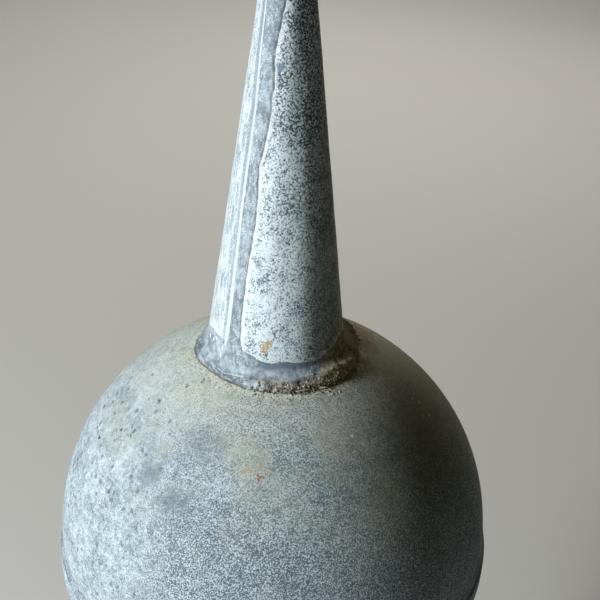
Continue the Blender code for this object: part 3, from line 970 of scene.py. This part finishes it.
def left_of_seam(look, left, seam, end, grain, high):
    """The sheet beside the lap's cut edge: thinner patina, long runs of chalk, a brown groove."""
    worn = look.times(left, look.fade(seam, -0.03, -0.018, 0.0, 0.62))
    look.coat((0.36, 0.425, 0.46), worn)
    streaks = look.noise(0.0013, 3.0, 0.6, look.scaled(1.0, 1.0 / 14.0))
    level = look.total(streaks, (0.3, grain), (0.12, end), -0.15, (0.045, look.fade(seam, -0.0022, -0.0036)))
    chalky = look.times(left, look.fade(level, 0.47, 0.59, 0.0, 0.9))
    look.coat(STREAK, chalky)
    bare = look.times(left, look.fade(level, 0.42, 0.32, 0.0, 0.6))
    look.coat((0.19, 0.235, 0.27), bare)
    runs = look.noise(0.0035, 2.0, 0.6, look.scaled(1.0, 1.0 / 4.0))
    strip = look.total(seam, (0.003, streaks), -0.0015)
    strip = look.times(look.fade(strip, -0.0032, -0.0022), left)
    grey = look.times(strip, look.math("ADD", look.times(high, 0.4), 0.42))
    look.coat((0.2, 0.245, 0.285), grey)
    groove = look.times(look.fade(seam, -0.001, -0.0004), left)
    rusty = look.times(groove, look.fade(runs, 0.5, 0.6, 0.0, 0.8))
    look.coat((0.21, 0.15, 0.105), rusty)


def ball_zinc(name, around_collar=False):
    """Zinc with a fine, even grey patina, pale patches, turning lines and dark pits, painted lighter on the
    lit left and darker and olive on the shaded right.
    """
    look = Finish(name)
    grain = look.speckle(0.0006, 0.00066)
    clumps = look.noise(0.0022, 2.0, 0.5)
    clouds = look.noise(0.0065, 3.0, 0.6)
    patches = look.noise(0.026, 3.0, 0.5, look.moved((0.31, 0.12, 0.05)))
    x, _, height = look.axes()
    lines = look.noise(0.0011, 1.0, 0.5, look.scaled(0.02, 1.0))
    # Patina darker on the right, the shaded side, and lighter on the left, the lit side: painted shade and
    # painted light.
    shaded_right = look.fade(look.total(x, (0.02, patches)), 0.02, 0.075)
    lit_left = look.fade(x, -0.04, -0.075)
    # Grain softer and a little lighter on the left, where the key light washes out the speckle: painted
    # light.
    washed_left = look.fade(look.total(x, (0.03, clouds), -0.015), -0.025, -0.06)
    lower = look.fade(height, 0.372, 0.345)
    lower = look.times(lower, look.fade(x, -0.055, -0.026, 0.2, 1.0))
    level = look.total((1.36, grain), (0.26, clumps), (0.26, clouds), (0.14, patches),
                       (0.08, lines), -0.554, (-0.07, shaded_right), (0.025, lit_left),
                       (1.3, look.times(lower, grain)), (-0.706, lower),
                       (-0.98, look.times(washed_left, grain)), (0.505, washed_left))
    look.colour = look.mix(look.fade(level, 0.34, 0.52), BALL_DARK, BALL_MID)
    crystals = look.fade(level, 0.44, 0.71)
    look.coat(BALL_PALE, crystals)
    smooth = look.fade(look.total(height, (0.02, patches)), 0.376, 0.398)
    smooth = look.times(smooth, look.fade(x, -0.006, -0.036, 0.05, 0.7))
    smooth = look.times(smooth, look.fade(grain, 0.36, 0.62, 0.45, 1.0))
    look.coat((0.47, 0.525, 0.52), smooth)
    warm = look.fade(look.noise(0.022, 2.0, 0.5, look.moved((0.3, 0.1, 0.2))), 0.46, 0.6)
    warm = look.times(warm, look.fade(height, 0.345, 0.385))
    look.coat(LICHEN, warm, 0.42)
    # Olive brown over the right of the dome, the shaded side: painted shade with a painted warm reflection.
    olive_shade = look.total(x, (0.04, clouds), -0.02)
    olive_shade = look.times(look.fade(olive_shade, 0.006, 0.046), look.fade(height, 0.315, 0.375))
    look.coat((0.2, 0.18, 0.1), olive_shade, 0.52)
    pits = look.fade(look.total(look.cells(0.0058), (0.3, clumps)), 0.37, 0.27)
    pits = look.times(pits, look.fade(x, 0.0, -0.06, 0.28, 0.75))
    look.coat((0.1, 0.135, 0.155), pits)
    if around_collar:
        ball_marks(look, grain, clumps)
    rough = look.fade(crystals, 0.0, 1.0, 0.66, 0.92)
    metal = look.fade(crystals, 0.0, 1.0, 0.12, 0.0)
    relief = look.total((0.5, crystals), (0.6, grain), (-0.8, pits), (0.5, clumps))
    return look.finish(rough, metal, relief, 0.0001, 0.2)


def ball_marks(look, grain, clumps):
    """The dome's own marks: rust, pits, smudges, and the tint and dirt round the collar, dimmed by painted
    shade on the collar's right, with painted warm bounce light in the brown patch there.
    """
    ragged = look.total((0.0036, grain), (0.0014, clumps), -0.0025)
    cloud = look.total((0.022, look.noise(0.006, 3.0, 0.65)), (0.006, grain), -0.014)
    look.coat((0.12, 0.165, 0.19), look.spots(BALL_SMUDGES, cloud, 0.0058, -0.0078), 0.8)
    look.coat((0.025, 0.038, 0.042), look.spots(BALL_PITS, ragged, 0.0004, -0.0004), 0.9)
    past = look.mark("past_collar")
    x, y, _ = look.axes()
    tint = look.times(look.fade(past, 0.034, 0.003), look.fade(grain, 0.36, 0.64, 0.12, 0.75))
    # Less pale tint and cream to the right of the collar, where the spike's shade falls: painted shade.
    collar_shade_dim = look.fade(x, 0.024, 0.038, 1.0, 0.75)
    look.coat((0.66, 0.67, 0.59), tint, collar_shade_dim)
    worn = look.total(look.noise(0.0042, 3.0, 0.65, look.moved((0.7, 0.2, 0.4))), (0.35, grain))
    worn = look.times(look.fade(worn, 0.7, 0.86), look.fade(past, 0.04, 0.006))
    look.coat((0.24, 0.24, 0.195), worn, 0.42)
    ring = look.total(past, (0.006, grain), (0.01, clumps))
    ring = look.times(look.fade(ring, 0.011, 0.0082), collar_shade_dim)
    look.coat(CREAM, ring, 0.65)
    seep = look.total(past, (0.006, grain), (0.005, clumps))
    seep = look.times(look.fade(seep, 0.0066, 0.0054), look.fade(clumps, 0.42, 0.54))
    look.coat((0.2, 0.165, 0.1), seep, 0.75)
    dirty = look.times(look.fade(past, 0.0075, 0.0015), look.fade(y, 0.01, -0.01))
    specks = look.fade(look.total(look.cells(0.0014), (-0.3, grain)), 0.2, 0.08)
    look.coat((0.13, 0.11, 0.075), look.times(specks, dirty), 0.75)
    shift = look.moved((0.05, 0.02, 0.01))
    motes = look.fade(look.total(look.cells(0.0016, shift), (-0.3, grain)), 0.14, 0.04)
    look.coat((0.72, 0.7, 0.56), look.times(motes, dirty), 0.85)
    # Outline of the brown patch right of the collar, which is partly a stain and partly painted warm bounce
    # light in the shade.
    stain_and_bounce = look.total((0.014, look.noise(0.004, 3.0, 0.6)), (0.003, grain), -0.0085)
    frayed = look.total((0.008, grain), (0.0044, clumps), -0.0058)
    for places, outline, start, end, tone, strength in (
        (BALL_STAIN_AND_BOUNCE, stain_and_bounce, 0.004, -0.003, (0.165, 0.13, 0.062), 0.85),
        (BALL_OCHRE, frayed, 0.0008, -0.0005, OCHRE, 0.55),
        (BALL_BROWN, ragged, 0.0005, -0.0004, (0.24, 0.17, 0.14), 0.5),
        (BALL_FLECKS, ragged, 0.0003, -0.0003, (0.75, 0.75, 0.62), 0.8),
        (BALL_RUST, ragged, 0.0004, -0.0003, RUST, 0.85),
    ):
        look.coat(tone, look.spots(places, outline, start, end), strength)


def base_zinc(name):
    """The ball's patina with rain streaks, dirt towards the floor and a pale rolled edge."""
    look = Finish(name)
    grain = look.speckle(0.00074, 0.0008)
    clumps = look.noise(0.0024, 2.0, 0.5)
    patches = look.noise(0.03, 3.0, 0.5)
    height = look.axes()[2]
    streaks = look.noise(0.006, 4.0, 0.6, look.scaled(1.0, 1.0 / 14.0))
    lines = look.noise(0.0011, 1.0, 0.5, look.scaled(0.02, 1.0))
    low = look.fade(look.total(height, (0.03, patches)), 0.05, 0.018)
    level = look.total(grain, (0.34, clumps), (0.26, patches), (0.3, streaks), (0.08, lines),
                       -0.5, (-0.05, low))
    look.colour = look.mix(look.fade(level, 0.32, 0.54), BALL_DARK, BALL_MID)
    crystals = look.fade(level, 0.44, 0.76)
    look.coat(BALL_PALE, crystals)
    runs = look.fade(look.total(streaks, (0.25, grain)), 0.7, 0.84)
    look.coat(STREAK, runs, 0.6)
    dirt = look.total(look.noise(0.008, 4.0, 0.65), (0.3, grain), (0.16, low))
    look.coat((0.145, 0.135, 0.105), look.fade(dirt, 0.74, 0.92, 0.0, 0.6))
    edge = look.fade(height, 0.007, 0.0052)
    edge = look.times(edge, look.fade(clumps, 0.42, 0.58))
    look.coat(LICHEN, edge, 0.5)
    rough = look.fade(crystals, 0.0, 1.0, 0.66, 0.92)
    metal = look.fade(crystals, 0.0, 1.0, 0.12, 0.0)
    relief = look.total((0.5, crystals), (0.6, grain), (0.3, runs), (0.5, clumps))
    return look.finish(rough, metal, relief, 0.0001, 0.2)


# Materials: solder and dirt

def solder(name):
    """Old solder: smooth, blue-grey, mottled, with a white bloom here and there."""
    look = Finish(name)
    mottle = look.noise(0.0014, 3.0, 0.65, look.scaled(1.0, 1.0 / 2.6))
    clouds = look.noise(0.008, 2.0, 0.5)
    fine = look.noise(0.0006, 2.0, 0.7)
    level = look.total((0.8, mottle), (0.5, clouds), (0.3, fine), -0.15)
    look.colour = look.mix(look.fade(level, 0.5, 0.84), SOLDER_DARK, SOLDER_PALE)
    look.coat((0.3, 0.37, 0.47), look.fade(clouds, 0.48, 0.62, 0.0, 0.3))
    dark = look.fade(look.total(fine, (0.4, mottle)), 0.62, 0.48)
    look.coat((0.095, 0.13, 0.16), dark, 0.62)
    bloom = look.fade(look.total(fine, (0.4, mottle)), 0.74, 0.9)
    look.coat((0.58, 0.63, 0.65), bloom, 0.8)
    rough = look.fade(mottle, 0.3, 0.7, 0.48, 0.68)
    relief = look.total((0.8, mottle), (0.4, fine))
    return look.finish(rough, 0.15, relief, 0.00006, 0.35)


COLLAR_DROPS = (
    (-0.029, -0.0083, 0.4048, 0.0009), (-0.0274, -0.0126, 0.4056, 0.0008),
    (-0.0259, -0.0148, 0.4074, 0.0007), (-0.0233, -0.0206, 0.4063, 0.0009),
    (-0.0237, -0.0198, 0.4023, 0.0011),
)
# Pale spots on lumps at the front of the rim, where light catches them: painted highlight.
COLLAR_LUMPS = (
    (-0.0111, -0.0325, 0.3957, 0.0017), (-0.0062, -0.034, 0.3959, 0.0013),
    (-0.0091, -0.0331, 0.3967, 0.0014), (-0.013, -0.0318, 0.3962, 0.0011),
)


def collar_solder(name):
    """The foot collar's solder: a clean fillet with painted shade where it meets the sheet, a rim with a
    painted highlight on its lit side, and a dirty outer face with painted highlights on its front lumps and
    painted warm reflection and shade on its right.
    """
    look = Finish(name)
    mottle = look.noise(0.0022, 3.0, 0.6)
    fine = look.noise(0.0006, 2.0, 0.7)
    clouds = look.noise(0.007, 2.0, 0.5)
    down = look.mark("down")
    x, y, _ = look.axes()
    level = look.total((0.7, mottle), (0.7, clouds), (0.25, fine))
    look.colour = look.mix(look.fade(level, 0.62, 1.02), (0.15, 0.195, 0.235), (0.4, 0.455, 0.5))
    # Darker band where the fillet meets the sheet at the front: painted shade in the corner.
    fillet_corner_shade = look.times(look.fade(down, 0.5, 0.24), look.fade(x, -0.014, -0.007))
    fillet_corner_shade = look.times(fillet_corner_shade, look.fade(mottle, 0.34, 0.5, 0.55, 0.95))
    look.coat((0.145, 0.202, 0.25), fillet_corner_shade)
    face = look.fade(down, 1.01, 1.08)
    lump = look.total(mottle, (0.5, clouds), (0.4, fine))
    shade = look.mix(look.fade(lump, 0.8, 1.07), (0.105, 0.128, 0.148), (0.34, 0.4, 0.46))
    look.coat(shade, face)
    front = look.times(look.fade(down, 1.0, 1.16), look.fade(x, -0.014, -0.004))
    tone = look.total(look.noise(0.0019, 3.0, 0.65), (0.25, fine), -0.12)
    caked = look.mix(look.fade(tone, 0.4, 0.48), (0.035, 0.034, 0.028), (0.165, 0.14, 0.105))
    caked = look.mix(look.fade(tone, 0.47, 0.55), caked, (0.33, 0.32, 0.28))
    caked = look.mix(look.fade(tone, 0.55, 0.63), caked, (0.5, 0.48, 0.41))
    look.coat(caked, front, 0.85)
    ragged = look.total((0.0052, mottle), (0.0022, fine), -0.0036)
    # Pale spots on the front lumps, where light catches them: painted highlight.
    look.coat((0.5, 0.56, 0.62), look.spots(COLLAR_LUMPS, ragged, 0.0006, -0.0007), 0.85)
    # A pale line along the sharp rim on the left, the lit side: painted highlight.
    rim = look.total(look.math("ABSOLUTE", look.math("SUBTRACT", down, 1.0)), (-0.25, fine), (-0.1, mottle))
    rim = look.times(look.fade(rim, -0.11, -0.15), look.fade(mottle, 0.44, 0.54))
    rim = look.times(rim, look.fade(x, -0.009, -0.015))
    look.coat((0.47, 0.48, 0.46), rim, 0.55)
    rust = look.math("ABSOLUTE", look.math("SUBTRACT", down, 1.14))
    rust = look.fade(look.total(rust, (-0.5, clouds)), -0.14, -0.24)
    look.coat((0.17, 0.15, 0.12), rust, 0.6)
    # Darker towards the bottom of the outer face, where it meets the ball.
    low = look.total(down, (0.9, mottle), (0.5, fine))
    look.coat(NEAR_BLACK_BROWN, look.fade(low, 2.42, 2.6, 0.0, 0.85))
    # Brown over the collar's right, the side turned from the key light: partly dirt, partly painted warm
    # reflection and fill light.
    right = look.total(x, (0.012, mottle), (0.004, fine), -0.008)
    look.coat(UMBER, look.fade(right, 0.014, 0.024, 0.0, 0.85))
    crack = look.total(mottle, (0.3, fine))
    crack = look.times(look.fade(crack, 0.66, 0.5), look.fade(right, 0.014, 0.024))
    look.coat(NEAR_BLACK_BROWN, crack, 0.68)
    # Lighter brown on the back right: partly dirt, partly painted fill light; the coat after it is painted
    # shade.
    behind = look.times(look.fade(y, -0.018, -0.004), look.fade(x, 0.01, 0.022))
    look.coat((0.18, 0.148, 0.076), behind, 0.8)
    shaded = look.times(look.fade(y, -0.002, 0.008), look.fade(x, 0.01, 0.022))
    look.coat((0.062, 0.053, 0.03), shaded, 0.6)
    drops = look.spots(COLLAR_DROPS, 0.0, 0.0003, -0.0003)
    look.coat(CHALK, drops, 0.9)
    rough = look.fade(mottle, 0.3, 0.7, 0.45, 0.65)
    rough = look.math("MAXIMUM", rough, look.fade(right, 0.008, 0.018, 0.0, 0.95))
    dry = look.times(look.fade(right, 0.012, 0.02), look.noise(0.0028, 3.0, 0.7))
    relief = look.total((0.6, mottle), (0.4, fine), (1.5, drops), (7.0, dry))
    return look.finish(rough, 0.1, relief, 0.00009, 0.25)


def grit(name):
    """Dry dirt: crumbs from cream to dark brown."""
    look = Finish(name)
    tone = look.noise(0.0021, 1.0)
    look.colour = look.mix(look.fade(tone, 0.36, 0.5), (0.085, 0.075, 0.055), (0.26, 0.24, 0.19))
    look.coat((0.54, 0.51, 0.41), look.fade(tone, 0.5, 0.64))
    relief = look.noise(0.0003, 2.0)
    return look.finish(0.95, 0.0, relief, 0.00004, 0.2)


def straw(name):
    """Dry plant fibre, pale with brown stretches."""
    look = Finish(name)
    tone = look.noise(0.003, 3.0, 0.6)
    look.colour = look.mix(look.fade(tone, 0.42, 0.64), (0.25, 0.2, 0.13), (0.56, 0.52, 0.42))
    rough = look.fade(tone, 0.3, 0.7, 0.9, 0.7)
    return look.finish(rough, 0.0, look.noise(0.0005, 2.0), 0.00003, 0.3)


# The stage

PICTURE_PIXELS = 600.0
SENSOR_WIDTH = 36.0
LENS_PIXELS = 1017.0
BALL_PIXEL = (273.9, 511.0)
CAMERA_DISTANCE = 0.505
CAMERA_ELEVATION = radians(41.5)
CAMERA_ROLL = radians(1.33)


def add_camera():
    """The photograph's view: a close look down on the ball, which sits low in the frame."""
    data = bpy.data.cameras.new("camera")
    data.sensor_width = SENSOR_WIDTH
    data.lens = LENS_PIXELS * SENSOR_WIDTH / PICTURE_PIXELS
    data.clip_start = 0.01
    data.clip_end = 50.0
    back = Vector((0.0, -cos(CAMERA_ELEVATION), sin(CAMERA_ELEVATION)))
    ahead = -back
    right = Vector((1.0, 0.0, 0.0))
    level = Matrix((right, right.cross(ahead), ahead))
    turn, lift = cos(CAMERA_ROLL), sin(CAMERA_ROLL)
    roll = Matrix(((turn, lift, 0.0), (-lift, turn, 0.0), (0.0, 0.0, 1.0)))
    middle = PICTURE_PIXELS / 2
    aim = Vector((BALL_PIXEL[0] - middle, middle - BALL_PIXEL[1], LENS_PIXELS))
    swing = Vector((0.0, 0.0, 1.0)).rotation_difference(aim.normalized()).to_matrix()
    seen = swing @ roll @ level
    axes = Matrix((seen[0], seen[1], -seen[2])).transposed()
    camera = bpy.data.objects.new("camera", data)
    place = Vector(BALL_CENTRE.tolist()) + back * CAMERA_DISTANCE
    camera.matrix_world = Matrix.Translation(place) @ axes.to_4x4()
    bpy.context.scene.collection.objects.link(camera)
    bpy.context.scene.camera = camera


def add_softbox(name, place, target, size, power, colour, spread=180.0):
    """A square area light that points at a target."""
    data = bpy.data.lights.new(name, "AREA")
    data.shape = "SQUARE"
    data.size = size
    data.energy = power
    data.color = colour
    data.spread = radians(spread)
    light = bpy.data.objects.new(name, data)
    light.location = place
    light.rotation_euler = (Vector(target) - Vector(place)).to_track_quat("-Z", "Y").to_euler()
    light.visible_camera = False
    bpy.context.scene.collection.objects.link(light)


def add_floor():
    """A plain pale floor."""
    mesh = bpy.data.meshes.new("floor")
    half = 6.0
    corners = [(-half, -half, 0.0), (half, -half, 0.0), (half, half, 0.0), (-half, half, 0.0)]
    mesh.from_pydata(corners, [], [(0, 1, 2, 3)])
    material = bpy.data.materials.new("floor_paper")
    material.use_nodes = True
    shader = material.node_tree.nodes["Principled BSDF"]
    shader.inputs["Base Color"].default_value = (0.6, 0.585, 0.56, 1.0)
    shader.inputs["Roughness"].default_value = 0.9
    mesh.materials.append(material)
    floor = bpy.data.objects.new("floor", mesh)
    bpy.context.scene.collection.objects.link(floor)


def add_world():
    """An even, dim, warm surround."""
    world = bpy.data.worlds.new("surround")
    world.use_nodes = True
    ground = world.node_tree.nodes["Background"]
    ground.inputs["Color"].default_value = (1.0, 0.92, 0.54, 1.0)
    ground.inputs["Strength"].default_value = 0.038
    bpy.context.scene.world = world


def add_lights():
    """A cool soft light from the left, a weak warm one from behind and one for the floor."""
    add_softbox("key", (-1.31, -0.74, 0.95), (0.0, 0.0, 0.42), size=0.45, power=42.0,
                colour=(0.93, 0.98, 1.0))
    add_softbox("back_floor", (0.0, 2.0, 2.5), (0.0, 2.0, 0.0), size=2.2, power=9.0,
                colour=(1.0, 0.98, 0.95), spread=50.0)
    add_softbox("rear", (0.6, 2.4, 0.8), (0.0, 0.0, 0.3), size=1.2, power=2.4,
                colour=(1.0, 0.9, 0.72), spread=60.0)


def main():
    """Builds every piece and the stage."""
    make_dome()
    make_bowl()
    make_equator_solder()
    make_spike_sheet()
    make_seam_band()
    make_spike_point()
    make_foot_collar()
    make_grit()
    make_fibres()
    make_neck_solder()
    make_neck_bead()
    make_skirt()
    add_floor()
    add_world()
    add_lights()
    add_camera()
    bpy.context.scene.view_settings.view_transform = "Standard"


main()
